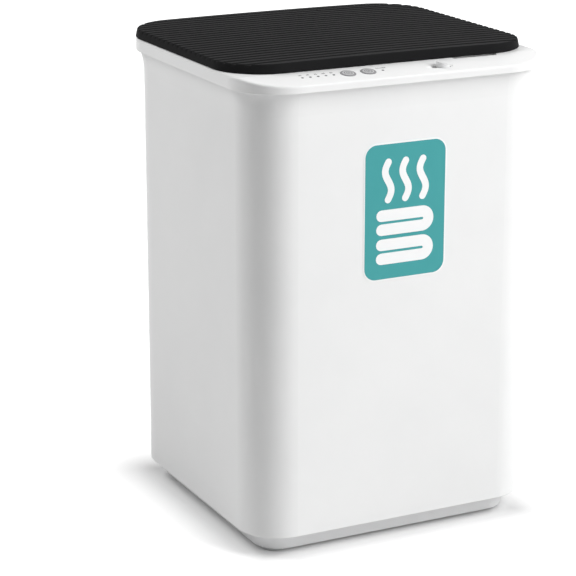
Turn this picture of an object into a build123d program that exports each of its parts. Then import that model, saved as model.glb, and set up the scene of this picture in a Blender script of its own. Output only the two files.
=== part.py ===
from build123d import *
import math
import os

# All sizes are millimetres. +Z is up, the front faces -Y, and Z = 0 is the floor.

# Housing
body_width = 300.0  # side to side
body_depth = 283.0  # front to back
body_corner = 42.0  # plan radius of the corners
shell_height = 421.0  # plinth to rim
shell_wall = 2.8
cove_height = 22.0  # concave flare below the rim
cove_flare = 3.7  # how far the flare leans out
spigot_height = 3.5  # top of the shell inside the rim's skirt
shell_edge = 1.2  # rounding of the shell's lower edge
boss_radius = 5.0  # screw bosses in the shell's corners
boss_top = 46.0
web_thickness = 2.5  # web between a boss and its corner
bite = 0.5  # how far a boss, web or tab runs into the wall it joins

# Base
foot_height = 3.0
foot_radius = 10.0
foot_recess = 1.0  # how far a foot is let into the plinth
foot_edge = 0.8  # rounding of a foot's lower edge
foot_offset = 14.5  # foot centre, out from the corner's own centre
plinth_height = 17.0
plinth_inset_top = 10.5
plinth_inset_bottom = 16.0
plinth_edge = 1.6  # rounding of the plinth's lower edge
base_wall = 2.5
tower_radius = 7.0  # screw towers in the plinth's corners
tower_head_seat = 12.0  # where the base screws' heads rest
board_post_radius = 3.5
vent_count = 9
vent_length = 44.0
vent_width = 3.2
vent_pitch = 9.0
vent_place = (70.0, -62.0)  # middle of each field of vents

# Rim and sloping control deck
rim_overhang = 7.3  # beyond the shell, all round
rim_band = 12.5  # height of the rim's side band
rim_skirt = 3.2  # thickness of the rim's outer wall
rim_plate = 2.5  # thickness of the rim's top
rim_edge = 2.0  # rounding of the rim's upper edge
rim_low_edge = 0.7
mouth_edge = 1.0  # rounding round the bucket's mouth
rim_boss_radius = 4.0
rim_pilot_depth = 5.0
deck_depth = 33.3  # lid's front edge to the rim's front
deck_angle = 9.0  # degrees, down towards the front

# Inner bucket
bucket_side_space = 25.0  # bucket's inside to the housing's outside
bucket_front_space = 42.5
bucket_rear_space = 16.5
bucket_corner = 38.0
bucket_sheet = 1.2
bucket_floor = 64.0  # underside of the bucket above the floor
bucket_bottom_radius = 20.0
flange_width = 8.0
seal_width = 5.0
seal_inset = 1.0  # seal's edge in from the flange's edge
stud_radius = 1.9  # studs under the bucket
stud_spread = 22.0
stud_length = 6.0  # below the thermostat
lip_depth = 6.0  # rim lip inside the bucket's mouth
lip_wall = 2.0

# Heating
heater_thickness = 0.8
heater_rise = 40.0  # heater's lower edge above the bucket's underside
heater_height = 300.0
wrap_thickness = 7.0
wrap_rise = 56.0
wrap_headroom = 14.5  # wrap's upper edge below the bucket's flange
pad_thickness = 7.0
pad_margin = 27.0  # pad's edge in from the bucket's inside
sensor_window = (110.0, 52.0, 8.0)  # width, depth and corner of the cut-out in the pad

# Lid
lid_edge = 8.0  # height of the lid's side
lid_back_inset = 0.5
lid_corner = 48.4
lid_draft = 1.5  # inward lean of the lid's side over its height
lid_crown = 1.3  # rise of the middle of the lid across its width
lid_wall = 2.4
lid_round = 1.2  # rounding of the lid's upper edge
rib_count = 25
rib_pitch = 10.35
groove_width = 5.2  # groove between two ribs, across its mouth
groove_floor = 2.4  # and across its flat bottom
groove_depth = 1.0
lid_skin = 1.8  # left above the hollow, below the grooves
liner_thickness = 2.5
plug_depth = 6.0
plug_gap = 3.0
plug_wall = 2.0
plug_edge = 2.5  # rounding of the plug's lower edge
pad_edge = 1.0  # rounding inside the plug
lid_boss_radius = 3.6
gasket_width = 5.0
gasket_depth = 1.2  # groove in the liner
gasket_spread = 4.0  # outside the bucket's mouth

# Hinge
hinge_span = 170.0  # between the two hinges
hinge_lug_width = 14.0
hinge_lug_radius = 2.9
hinge_pin_radius = 1.5
hinge_pin_length = 32.0
hinge_inset = 3.0  # pin centre in from the lid's rear edge
hinge_rise = 4.0  # pin centre above the lid's lower edge
hinge_block_width = 40.0  # solid part of the lid round each pin
hinge_block_depth = 8.0  # in front of the pin

# Controls
button_radius = 7.25
button_rise = 0.6
button_edge = 0.5
button_flange = (1.5, 1.1)  # beyond the cap, and thickness
button_stem = 2.6
button_gap = 0.2
button_centres = (-52.6, -32.2)  # timer, power
control_reach = 14.3  # buttons and lights in front of the lid
button_travel = 0.7
light_radius = 1.15
light_rise = 0.15
light_gap = 0.15
led_radius = 1.5
led_top = 6.6  # spring line of the lamp's dome below the deck
switch_size = (6.2, 3.4, 1.75)  # side and height of the body, radius of the plunger
light_centres = (-98.2, -90.4, -82.6, -74.8, -67.0, -17.2)
board_drop = 10.5  # board's upper face below the deck's surface
board_thickness = 1.6
board_ends = (15.0, 14.2)  # board beyond the first and the last light
board_sides = (11.2, 9.2)  # board in front of and behind the buttons
board_hole_in = 4.0  # screw holes in from the ends
board_hole_rows = (5.3, -7.2)
deck_boss_radius = 2.6
deck_cut = (-6.0, 3.0)  # levels that clear the deck's plate

# Latch
knob_radius = 6.0
knob_x = 41.5
knob_reach = 18.5  # in front of the lid
knob_high = 5.2  # left side, above the deck
knob_low = 1.0  # right side
latch_travel = 7.0
scoop_size = (1.7, 3.5)  # depth and half width of the hollow round the knob
scoop_steps = (-16.0, -5.5, 8.0)  # ramp, flat and end, from the knob
latch_plate = 2.1  # thickness of the sliding bar
bar_size = (18.0, 12.0)
bar_arm = (6.0, 8.5)  # from the knob back to the tongue's riser
guide_plate = 1.8
guide_width = 8.0
guide_offsets = (-19.0, 16.5)  # guide's screws, from the knob
guide_end = 3.5  # plate beyond its screws
neck_length = 5.0
neck_width = 3.4
strike_left = 24.0
strike_stem = 9.0
strike_toe = 7.0
strike_thickness = 2.4
strike_gap = 4.6  # from the lid's front edge
strike_room = 2.0  # room beside the hook in the rim's opening
strike_foot = (1.8, 4.9)  # thickness and depth of the part let into the liner
hook_drop = 5.5  # underside of the hook below the shell's top
hook_height = 2.4
tongue_height = 2.2
tongue_width = 6.0
riser_top = 5.5  # below the rim's top
notch_ends = (62.4, 110.0)  # finger notch under the lid's front edge
notch_reach = 3.0  # how far it shows in front of the lid
notch_depth = 8.0
cup_wall = 2.0
notch_back_gap = 4.6  # how far the notch reaches under the lid
notch_corner = 1.5

# Power board, sensors and wiring
board_place = (-34.0, 30.0)
board_size = (120.0, 78.0)
board_seat = 15.0  # underside of the power board above the floor
board_margin = 5.0  # screw centres in from the board's edges
thermostat_radius = 8.2
thermostat_height = 7.0
blade_size = (4.8, 9.0, 0.8)  # width, length and thickness of its terminals
blade_spread = 9.0
strap_size = (12.0, 1.2)  # width and thickness of the clamp
strap_end = 6.0  # clamp beyond its studs
nut_size = (4.0, 3.2)  # radius across the corners and height
fuse_radius = 3.0
fuse_length = 34.0
fuse_offset = 17.0  # in front of the thermostat
clip_width = 9.0
clip_sheet = 0.8
clip_foot = 4.7
cable_radius = 2.2
cable_bend = 26.0
cable_x = -60.0
lead_radius = 1.6
lead_bend = 20.0
lead_overlap = 12.0  # length soldered to the heater
lead_pitch = 6.2
cable_plug = (14.0, 6.0, 7.0)
relay_block = (30.0, 14.0, 19.0, 15.5, 15.5)  # place on the board, width, depth and height
supply_block = (-26.0, 14.0, 34.0, 22.0, 18.0)
capacitor_block = (4.0, 14.0, 8.5, 18.0, 15.0)
fuse_place = (-2.0, -22.0)
fuse_spread = 8.0
fuse_clip_size = (5.0, 7.0, 8.0)
fuse_tube = (2.6, 6.0)  # radius, and height of its middle above the board
terminal_place = (40.0, -20.0)
terminal_size = (26.0, 11.0, 12.0)
cord_inset = 58.0  # cord entry in from the housing's side
cord_z = 44.0
gland_neck = 6.8
gland_bore = 3.6
gland_flange = (10.0, 2.6)  # radius, and reach beyond the wall
gland_nut_size = (11.0, 5.0)  # radius across the corners and thickness

# Screws: shank radius, head radius and length
rim_screw = (1.35, 3.4, 7.0)
base_screw = (1.65, 3.8, 26.0)
board_screw = (0.95, 2.4, 6.0)
guide_screw = (0.95, 2.4, 5.0)
power_screw = (1.25, 2.8, 8.0)
knob_screw = (0.85, 2.1)
lid_screw = (1.2, 2.0)
strike_screw = (0.95, 1.8)
flat_head = 1.5  # height of a cheese head
clearance = 0.35  # radial room round a screw's shank
grip = 0.05  # radial room of a screw in its pilot
lid_head_depth = 1.4
lid_screw_inset = 15.3  # in from the lid's sides
lid_screw_pitch = 79.0
tab_thickness = 2.8
tab_size = (34.0, 12.0)
tab_gap = 1.5  # between a tab and the bucket
rim_corner_out = (20.5, 18.5)  # corner screws, out from the centre of the corner's rounding
side_tab_inset = 5.7
side_tab_y = 10.0
front_tab_inset = 9.2
front_tab_back = 21.5

# Fits
slip = 0.3  # general clearance between neighbours
running = 0.05  # radial clearance of the hinge pin in its lug
snug = 0.02  # radial clearance of the hinge pin in the lid

# Levels and sizes that follow from the ones above
plinth_bottom = foot_height
shell_bottom = plinth_bottom + plinth_height
rim_bottom = shell_bottom + shell_height
rim_top = rim_bottom + rim_band
shell_top = rim_bottom + spigot_height
lid_bottom = rim_top + slip
lid_top = lid_bottom + lid_edge
rim_width = body_width + 2 * rim_overhang
rim_depth = body_depth + 2 * rim_overhang
rim_corner = body_corner + rim_overhang
deck_back = -rim_depth / 2 + deck_depth
deck_slope = math.tan(math.radians(deck_angle))
deck_cos = math.cos(math.radians(deck_angle))
deck_sin = math.sin(math.radians(deck_angle))
lid_depth = rim_depth - deck_depth - lid_back_inset
lid_centre = deck_back + lid_depth / 2
lid_rear = deck_back + lid_depth
bucket_width = body_width - 2 * bucket_side_space
bucket_depth = body_depth - bucket_front_space - bucket_rear_space
bucket_setback = (bucket_front_space - bucket_rear_space) / 2  # bucket centre behind the housing's centre
corner_x = body_width / 2 - body_corner
corner_y = body_depth / 2 - body_corner
inner_width = body_width - 2 * shell_wall
inner_depth = body_depth - 2 * shell_wall
inner_corner = body_corner - shell_wall
flange_bottom = shell_top
flange_top = flange_bottom + bucket_sheet
opening_width = bucket_width - 2 * (slip + lip_wall)
opening_depth = bucket_depth - 2 * (slip + lip_wall)
opening_corner = bucket_corner - slip - lip_wall
hinge_y = lid_rear - hinge_inset
hinge_z = lid_bottom + hinge_rise
deck_frame = Plane((0, deck_back, rim_top), x_dir=(1, 0, 0), z_dir=(0, -deck_sin, deck_cos))
control_line = deck_back - control_reach
knob_centre = (knob_x, deck_back - knob_reach)
foot_x = corner_x + foot_offset * math.sqrt(0.5)
foot_y = corner_y + foot_offset * math.sqrt(0.5)
tower_top = shell_bottom + base_wall
cord_x = body_width / 2 - cord_inset
board_top = board_seat + board_thickness
notch_back = deck_back + notch_back_gap
board_x = (light_centres[0] - board_ends[0], light_centres[-1] + board_ends[1])
board_y = (control_line - board_sides[0], control_line + board_sides[1])
board_hole_x = (board_x[0] + board_hole_in, board_x[1] - board_hole_in)
board_holes = [(x, control_line + row) for x in board_hole_x for row in board_hole_rows]
board_under = -board_drop - board_thickness
switch_top = -2 * rim_plate - button_travel - slip / 3
bar_high = -rim_plate - slip
bar_low = bar_high - latch_plate
guide_top = bar_low - slip
guide_holes = [(knob_x + offset, knob_centre[1]) for offset in guide_offsets]
strike_x = (strike_left, strike_left + strike_stem, strike_left + strike_stem + strike_toe)
strike_y = (deck_back + strike_gap, deck_back + strike_gap + strike_thickness)
hook_low = shell_top - hook_drop
hook_high = hook_low + hook_height
heater_low = bucket_floor + heater_rise
wrap_low = bucket_floor + wrap_rise
wrap_high = flange_bottom - wrap_headroom
sensor_y = bucket_setback  # the sensors sit below the bucket's middle
fuse_y = sensor_y - fuse_offset
fuse_z = bucket_floor - slip - fuse_radius
clamp_level = bucket_floor - slip / 3 - thermostat_height
lid_ceiling = lid_top - groove_depth - lid_skin
strike_holes = (strike_x[0] + 2.0, strike_x[2])
strike_hole_y = strike_y[0] + strike_foot[1] - 2.4
liner_low = lid_bottom + slip
liner_high = liner_low + liner_thickness
plug_size = (opening_width - 2 * plug_gap, opening_depth - 2 * plug_gap, opening_corner - plug_gap)
plug_inside = (plug_size[0] - 2 * plug_wall, plug_size[1] - 2 * plug_wall, plug_size[2] - plug_wall)
lead_y = bucket_setback - bucket_depth / 2 - bucket_sheet - slip - heater_thickness - lead_radius - slip / 3
plug_y = board_place[1] - board_size[1] / 2 + 15.0
cable_y = control_line + 1.3
board_hole_places = (board_size[0] / 2 - board_margin, board_size[1] / 2 - board_margin)


# A flat-lying block with rounded corners between two heights.
def slab(width, depth, corner, low, high, y=0.0):
    return Pos(0, y, low) * extrude(RectangleRounded(width, depth, corner), amount=high - low)


# A frame of even width: the outer outline less the same outline moved in.
def frame_ring(width, depth, corner, band, low, high, y=0.0):
    outer = slab(width, depth, corner, low, high, y)
    inner = slab(width - 2 * band, depth - 2 * band, corner - band, low - 1, high + 1, y)
    return outer - inner


# A box between two corners.
def block(x0, x1, y0, y1, z0, z1):
    middle = ((x0 + x1) / 2, (y0 + y1) / 2, (z0 + z1) / 2)
    return Pos(*middle) * Box(x1 - x0, y1 - y0, z1 - z0)


# An upright cylinder that starts at a height.
def post(radius, low, high, x=0.0, y=0.0):
    upright = (Align.CENTER, Align.CENTER, Align.MIN)
    return Pos(x, y, low) * Cylinder(radius, high - low, align=upright)


# A place on the sloping deck: x across, y of the real deck, w out of its surface.
def on_deck(x, y, w=0.0):
    return deck_frame.location * Pos(x, (y - deck_back) / deck_cos, w)


# A cylinder square to the deck between two levels.
def deck_post(radius, x, y, low, high):
    return on_deck(x, y, low) * post(radius, 0, high - low)


# Round-headed screw, shank pointing up; its head lies below the given height.
def screw_up(x, y, seat, screw):
    shank, head, length = screw
    body = post(shank, seat, seat + length, x, y)
    cap = post(head, seat - 0.62 * head, seat, x, y)
    return body + fillet(cap.edges().group_by(Axis.Z)[0], 0.25 * head)


# The same screw the other way up; its head lies above the given height.
def screw_down(x, y, seat, screw):
    return Pos(0, 0, 2 * seat) * Rot(180, 0, 0) * screw_up(x, -y, seat, screw)


# Cheese-head screw into the deck from below; its head lies under the given level.
def deck_screw(x, y, seat, screw):
    shank, head, length = screw
    return deck_post(shank, x, y, seat, seat + length) + deck_post(head, x, y, seat - flat_head, seat)


def along_x(x, y, z, radius, length):
    return Pos(x, y, z) * Rot(0, 90, 0) * Cylinder(radius, length)


def corners(x, y):
    return [(sx * x, sy * y) for sx in (-1, 1) for sy in (-1, 1)]


rim_screw_places = (
    corners(corner_x + rim_corner_out[0], corner_y + rim_corner_out[1])
    + [(side * (inner_width / 2 - side_tab_inset), side_tab_y) for side in (-1, 1)]
    + [(side * (inner_width / 2 - front_tab_inset), -corner_y + front_tab_back) for side in (-1, 1)]
)
lid_screw_x = rim_width / 2 - lid_screw_inset
lid_screw_places = [
    (side * lid_screw_x, lid_centre + step * lid_screw_pitch) for side in (-1, 1) for step in (-1, 0, 1)
]


# Moulded housing: one wall section carried round the plan outline.
def outer_shell():
    outline = RectangleRounded(body_width, body_depth, body_corner).wire()
    start, along = outline @ 0, outline % 0
    outward = Vector(along.Y, -along.X, 0)
    if outward.dot(start) < 0:
        outward = -outward
    section_plane = Plane(start, x_dir=outward, z_dir=outward.cross(Vector(0, 0, 1)))
    cove_low = rim_bottom - cove_height
    cove_radius = (cove_height**2 + cove_flare**2) / (2 * cove_flare)
    half = math.asin(cove_height / cove_radius) / 2
    mid_out = cove_radius * (1 - math.cos(half))
    mid_up = cove_radius * math.sin(half)
    edge = shell_edge
    outer = [
        ThreePointArc(
            (-edge, shell_bottom),
            (-edge * (1 - math.sqrt(0.5)), shell_bottom + edge * (1 - math.sqrt(0.5))),
            (0, shell_bottom + edge),
        ),
        Line((0, shell_bottom + edge), (0, cove_low)),
        ThreePointArc((0, cove_low), (mid_out, cove_low + mid_up), (cove_flare, rim_bottom)),
        Line((cove_flare, rim_bottom), (cove_flare, shell_top)),
        Line((cove_flare, shell_top), (cove_flare - shell_wall, shell_top)),
    ]
    inner = [
        Line((cove_flare - shell_wall, shell_top), (cove_flare - shell_wall, rim_bottom)),
        ThreePointArc(
            (cove_flare - shell_wall, rim_bottom),
            (mid_out - shell_wall, cove_low + mid_up),
            (-shell_wall, cove_low),
        ),
        Line((-shell_wall, cove_low), (-shell_wall, shell_bottom)),
        Line((-shell_wall, shell_bottom), (-edge, shell_bottom)),
    ]
    section = section_plane * make_face(Curve() + outer + inner)
    wall = sweep(section, path=outline)
    bosses = [post(boss_radius, tower_top, boss_top, x, y) for x, y in corners(foot_x, foot_y)]
    webs = [shell_web(x, y) for x, y in corners(foot_x, foot_y)]
    pilots = [post(base_screw[0] + grip, 0, boss_top - 4, x, y) for x, y in corners(foot_x, foot_y)]
    tabs = [rim_tab(x, y) for x, y in rim_screw_places]
    cord_entry = Pos(cord_x, body_depth / 2, cord_z) * Rot(90, 0, 0)
    gland = cord_entry * Cylinder(gland_neck + slip / 2, 6 * shell_wall)
    return wall + bosses + webs - pilots + tabs - gland


# Web from a corner boss out into the corner's wall.
def shell_web(x, y):
    turn = math.degrees(math.atan2(y / abs(y), x / abs(x)))
    reach = body_corner - foot_offset
    half = web_thickness / 2
    web = Pos(x, y, 0) * Rot(0, 0, turn) * block(0, reach, -half, half, tower_top, boss_top)
    return web & slab(inner_width + 2 * bite, inner_depth + 2 * bite, inner_corner + bite, 0, boss_top)


# Tab on the shell's inside that takes a rim screw, trimmed clear of the bucket.
def rim_tab(x, y):
    turn = math.degrees(math.atan2(y - bucket_setback, x)) if abs(y) > corner_y else 90 - 90 * x / abs(x)
    plate = Pos(x, y, shell_top - tab_thickness / 2) * Rot(0, 0, turn) * Box(*tab_size, tab_thickness)
    low, high = shell_top - 2 * tab_thickness, shell_top + 1
    grow = cove_flare + bite
    inside = slab(inner_width + 2 * grow, inner_depth + 2 * grow, inner_corner + grow, low, high)
    spread = bucket_sheet + tab_gap
    size = (bucket_width + 2 * spread, bucket_depth + 2 * spread, bucket_corner + spread)
    hole = post(rim_screw[0] + 2 * clearance, low, high, x, y)
    return (plate & inside) - slab(*size, low, high, bucket_setback) - hole


# Grey plinth: tapering tub with vents, screw towers and board posts.
def base_tray():
    taper = math.degrees(math.atan2(plinth_inset_bottom - plinth_inset_top, plinth_height))

    def tub(inset, low, high):
        top = RectangleRounded(
            body_width - 2 * (plinth_inset_top + inset),
            body_depth - 2 * (plinth_inset_top + inset),
            body_corner - plinth_inset_top - inset,
        )
        return Pos(0, 0, high) * extrude(top, amount=low - high, taper=taper)

    outer = tub(0, plinth_bottom, shell_bottom)
    outer = fillet(outer.edges().group_by(Axis.Z)[0], plinth_edge)
    cover = slab(inner_width - 2 * slip, inner_depth - 2 * slip, inner_corner - slip, shell_bottom, tower_top)
    hollow = tub(base_wall, plinth_bottom + base_wall, shell_bottom)
    inset = plinth_inset_top + base_wall
    size = (body_width - 2 * inset, body_depth - 2 * inset, body_corner - inset)
    tray = outer + cover - hollow - slab(*size, shell_bottom - 0.01, tower_top + 1)
    tray = tray + [post(tower_radius, plinth_bottom + 1, tower_top, x, y) for x, y in corners(foot_x, foot_y)]
    for x, y in corners(foot_x, foot_y):
        tray -= post(foot_radius + slip, plinth_bottom - 1, plinth_bottom + foot_recess, x, y)
        tray -= post(base_screw[1] + 2 * clearance, plinth_bottom, tower_head_seat, x, y)
        tray -= post(base_screw[0] + 2 * clearance, tower_head_seat - 1, tower_top + 1, x, y)
    bx, by = board_place
    for x, y in corners(*board_hole_places):
        tray += post(board_post_radius, plinth_bottom + 1, board_seat, bx + x, by + y)
        tray -= post(power_screw[0] + grip, plinth_bottom + base_wall, board_seat + 1, bx + x, by + y)
    return tray - vents()


def vents():
    one = extrude(SlotOverall(vent_length, vent_width), amount=plinth_bottom + base_wall + 1)
    x, y = vent_place
    first = y - (vent_count - 1) / 2 * vent_pitch
    return [Pos(side * x, first + i * vent_pitch, 0) * one for i in range(vent_count) for side in (-1, 1)]


def rubber_feet():
    one = post(foot_radius, 0, foot_height + foot_recess)
    one = fillet(one.edges().group_by(Axis.Z)[0], foot_edge)
    return [Pos(x, y, 0) * one for x, y in corners(foot_x, foot_y)]


def base_screws():
    return [screw_up(x, y, tower_head_seat, base_screw) for x, y in corners(foot_x, foot_y)]


# Rim block with the deck's slope cut across its front, moved in and down by a wall.
def rim_form(inset, drop, low):
    top = rim_top - drop
    form = slab(rim_width - 2 * inset, rim_depth - 2 * inset, rim_corner - inset, low, top)
    ahead = deck_depth + 5
    wedge = Polyline(
        (deck_back, top),
        (deck_back - ahead, top - ahead * deck_slope),
        (deck_back - ahead, top + 10),
        (deck_back, top + 10),
        close=True,
    )
    face = Plane.YZ * make_face(wedge)
    return form - extrude(face, amount=rim_width, both=True)


# Hollow in the deck round the knob: a ramp, a flat and a round end.
def scoop():
    depth, width = scoop_size
    radius = (depth**2 + width**2) / (2 * depth)
    x0, x1, x2 = (knob_x + step for step in scoop_steps)
    y = knob_centre[1]
    ramp_angle = math.degrees(math.atan2(depth, x1 - x0))
    flat = on_deck(x1, y, radius - depth) * Rot(0, 90, 0) * post(radius, 0, x2 - x1)
    end = on_deck(x2, y, radius - depth) * Sphere(radius)
    ramp = on_deck(x1, y, radius - depth) * Rot(0, ramp_angle + 90, 0) * post(radius, -20, 0)
    return [flat, end, ramp]


def top_rim():
    rim = rim_form(0, 0, rim_bottom)
    crease = rim_width * 0.9
    raised = [e for e in rim.edges() if e.bounding_box().min.Z > rim_bottom + 1]
    upper = [e for e in raised if e.length < crease or abs(e.center().Y - deck_back) > 0.1]
    rim = fillet(upper, rim_edge)
    lower = [e for e in rim.edges() if e.bounding_box().max.Z < rim_bottom + 0.1]
    rim = fillet(lower, rim_low_edge)
    rim -= rim_form(rim_skirt, rim_plate, rim_bottom - 1)
    lip = frame_ring(
        opening_width + 2 * lip_wall,
        opening_depth + 2 * lip_wall,
        opening_corner + lip_wall,
        lip_wall,
        flange_bottom - lip_depth,
        rim_top - rim_plate / 2,
        bucket_setback,
    )
    opening = (opening_width, opening_depth, opening_corner)
    mouth = slab(*opening, rim_bottom - lip_depth, rim_top + 1, bucket_setback)
    rim = rim - mouth + lip
    round_mouth = [
        e
        for e in rim.edges()
        if abs(e.center().Z - rim_top) < 0.01
        and abs(e.center().X) < opening_width / 2 + 0.1
        and abs(e.center().Y - bucket_setback) < opening_depth / 2 + 0.1
    ]
    rim = fillet(round_mouth, mouth_edge)
    for x, y in rim_screw_places:
        deck_here = rim_top - max(0.0, deck_back - y) * deck_slope
        rim += post(rim_boss_radius, shell_top, deck_here - rim_plate / 2, x, y)
        rim -= post(rim_screw[0] + grip, shell_top - 1, shell_top + rim_pilot_depth, x, y)
    rim = rim + finger_cup() + [hinge_lug(side) for side in (-1, 1)] + board_bosses() + guide_bosses()
    for x in button_centres:
        rim -= deck_post(button_radius + button_gap, x, control_line, *deck_cut)
    for x in light_centres:
        rim -= deck_post(light_radius + light_gap, x, control_line, *deck_cut)
    pilot = board_screw[0] + grip
    for x, y in board_holes:
        rim -= deck_post(pilot, x, y, -board_drop - 1, board_under + board_screw[2] + slip)
    for x, y in guide_holes:
        rim -= deck_post(pilot, x, y, guide_top - 1, guide_top - guide_plate + guide_screw[2] + slip)
    for piece in scoop():
        rim -= piece
    slot = SlotOverall(neck_length + latch_travel + 2 * slip, neck_width + 2 * slip)
    rim -= on_deck(knob_x - latch_travel / 2, knob_centre[1], deck_cut[0]) * extrude(slot, amount=9)
    rim -= notch_space()
    return rim - strike_slot()


# Opening in the rim through which the lid's hook drops.
def strike_slot():
    x0, x1 = strike_x[0] - strike_room, strike_x[2] + strike_room
    y0, y1 = strike_y[0] - strike_room / 2, strike_y[1] + strike_room / 2
    return block(x0, x1, y0, y1, rim_top - 2 * rim_plate, rim_top + 1)


def notch_space():
    floor = rim_top - notch_depth
    cut = block(notch_ends[0], notch_ends[1], deck_back - notch_reach, notch_back, floor, rim_top + 2)
    upright = [e for e in cut.edges() if abs(e.length - (notch_depth + 2)) < 0.01]
    return fillet(upright, notch_corner)


def finger_cup():
    floor = rim_top - notch_depth - cup_wall
    top = rim_top - (notch_reach + cup_wall) * deck_slope - rim_plate / 2
    x0, x1 = notch_ends[0] - cup_wall, notch_ends[1] + cup_wall
    return block(x0, x1, deck_back - notch_reach - cup_wall, notch_back + cup_wall, floor, top)


def hinge_lug(side):
    x = side * hinge_span / 2
    eye = along_x(x, hinge_y, hinge_z, hinge_lug_radius, hinge_lug_width)
    half = hinge_lug_width / 2
    front, back = hinge_y - hinge_lug_radius, hinge_y + hinge_lug_radius
    neck = block(x - half, x + half, front, back, rim_top - rim_plate, hinge_z)
    return eye + neck - along_x(x, hinge_y, hinge_z, hinge_pin_radius + running, hinge_lug_width + 2)


# Control board under the deck, hung on four bosses.
def board_bosses():
    return [deck_post(deck_boss_radius, x, y, -board_drop, -rim_plate / 2) for x, y in board_holes]


def control_board():
    length = board_x[1] - board_x[0]
    width = (board_y[1] - board_y[0]) / deck_cos
    middle = on_deck(sum(board_x) / 2, sum(board_y) / 2, board_under)
    board = middle * extrude(RectangleRounded(length, width, 2.0), amount=board_thickness)
    for x, y in board_holes:
        board -= deck_post(board_screw[0] + clearance, x, y, board_under - 1, -board_drop + 1)
    return board


def control_screws():
    return [deck_screw(x, y, board_under, board_screw) for x, y in board_holes]


def tact_switches():
    side, height, radius = switch_size
    switches = []
    for x in button_centres:
        body = on_deck(x, control_line, height / 2 - board_drop) * Box(side, side, height)
        switches.append(body + deck_post(radius, x, control_line, -board_drop + height / 2, switch_top))
    return switches


def indicator_leds():
    leds = []
    for x in light_centres:
        body = deck_post(led_radius, x, control_line, -board_drop, -led_top)
        leds.append(body + on_deck(x, control_line, -led_top) * Sphere(led_radius))
    return leds


def light_guides():
    low = led_radius - led_top + slip
    guides = []
    for x in light_centres:
        stem = deck_post(light_radius, x, control_line, low, light_rise)
        collar = deck_post(1.7 * light_radius, x, control_line, low, -rim_plate - slip / 6)
        guides.append(stem + collar)
    return guides


# Round push button: cap through the deck, flange below it, stem over the switch.
def button(x):
    spread, thickness = button_flange
    flange_level = -rim_plate - slip / 3
    cap = deck_post(button_radius, x, control_line, flange_level - thickness / 2, button_rise)
    top_edge = sorted(cap.edges(), key=lambda e: e.center().Z)[-1]
    cap = fillet(top_edge, button_edge)
    flange = deck_post(button_radius + spread, x, control_line, flange_level - thickness, flange_level)
    stem = deck_post(button_stem, x, control_line, -2 * rim_plate, flange_level - thickness / 2)
    return cap + flange + stem


# Latch: knob on the deck, bar and tongue below it, guide plate under the bar.
def latch_knob():
    x, y = knob_centre
    far = knob_radius + 2
    cap = deck_post(knob_radius, x, y, slip, knob_high + 2)
    slope = Polyline(
        (-far, knob_high),
        (1 - knob_radius, knob_high),
        (far, knob_low),
        (far, knob_high + 5),
        (-far, knob_high + 5),
        close=True,
    )
    cap -= on_deck(x, y) * extrude(Plane.XZ * make_face(slope), amount=2 * far, both=True)
    neck = extrude(SlotOverall(neck_length, neck_width), amount=1.5 * slip - bar_high)
    return cap + on_deck(x, y, bar_high) * neck - deck_post(knob_screw[0] + grip, x, y, bar_high - 1, knob_low)


def latch_bar():
    x, y = knob_centre
    length, width = bar_size
    plate = on_deck(x, y, (bar_low + bar_high) / 2) * Box(length, width, latch_plate)
    plate -= deck_post(knob_screw[0] + slip, x, y, bar_low - 1, bar_high + 1)
    plate -= deck_post(knob_screw[1] + slip, x, y, bar_low - 1, bar_low + latch_plate / 2)
    left = strike_x[2] + 2 * clearance
    right = left + tongue_width
    low = hook_high + slip
    front, back = y + bar_arm[0], y + bar_arm[1]
    tongue = block(left, right, front, strike_y[1] - clearance, low, low + tongue_height)
    riser = block(left, right, front, back, low, rim_top - riser_top)
    return plate + riser + tongue


def latch_screw():
    x, y = knob_centre
    shank, head = knob_screw
    seat = bar_low + latch_plate / 2
    body = deck_post(shank, x, y, bar_low + slip, knob_low / 2)
    return body + deck_post(head, x, y, bar_low + slip / 3, seat)


def guide_bosses():
    return [deck_post(deck_boss_radius, x, y, guide_top, -rim_plate / 2) for x, y in guide_holes]


def latch_guide():
    left, right = guide_holes[0][0] - guide_end, guide_holes[1][0] + guide_end
    middle = on_deck((left + right) / 2, knob_centre[1], guide_top - guide_plate)
    plate = middle * extrude(RectangleRounded(right - left, guide_width, 2.0), amount=guide_plate)
    for x, y in guide_holes:
        plate -= deck_post(guide_screw[0] + clearance, x, y, guide_top - 2 * guide_plate, guide_top + 1)
    return plate


def guide_screws():
    return [deck_screw(x, y, guide_top - guide_plate, guide_screw) for x, y in guide_holes]


def rim_screws():
    seat = shell_top - tab_thickness
    return [screw_up(x, y, seat, rim_screw) for x, y in rim_screw_places]


# Drawn aluminium bucket with a turned-out flange and two welded studs.
def inner_bucket():
    outer = slab(
        bucket_width + 2 * bucket_sheet,
        bucket_depth + 2 * bucket_sheet,
        bucket_corner + bucket_sheet,
        bucket_floor,
        flange_top,
        bucket_setback,
    )
    outer = fillet(outer.edges().group_by(Axis.Z)[0], bucket_bottom_radius)
    inside = (bucket_width, bucket_depth, bucket_corner)
    inner = slab(*inside, bucket_floor + bucket_sheet, flange_top + 1, bucket_setback)
    inner = fillet(inner.edges().group_by(Axis.Z)[0], bucket_bottom_radius - bucket_sheet)
    spread = bucket_sheet + flange_width
    flange = slab(
        bucket_width + 2 * spread,
        bucket_depth + 2 * spread,
        bucket_corner + spread,
        flange_bottom,
        flange_top,
        bucket_setback,
    )
    low, high = clamp_level - stud_length, bucket_floor + bucket_sheet / 2
    studs = [post(stud_radius, low, high, side * stud_spread, sensor_y) for side in (-1, 1)]
    return outer + flange + studs - inner


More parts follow.
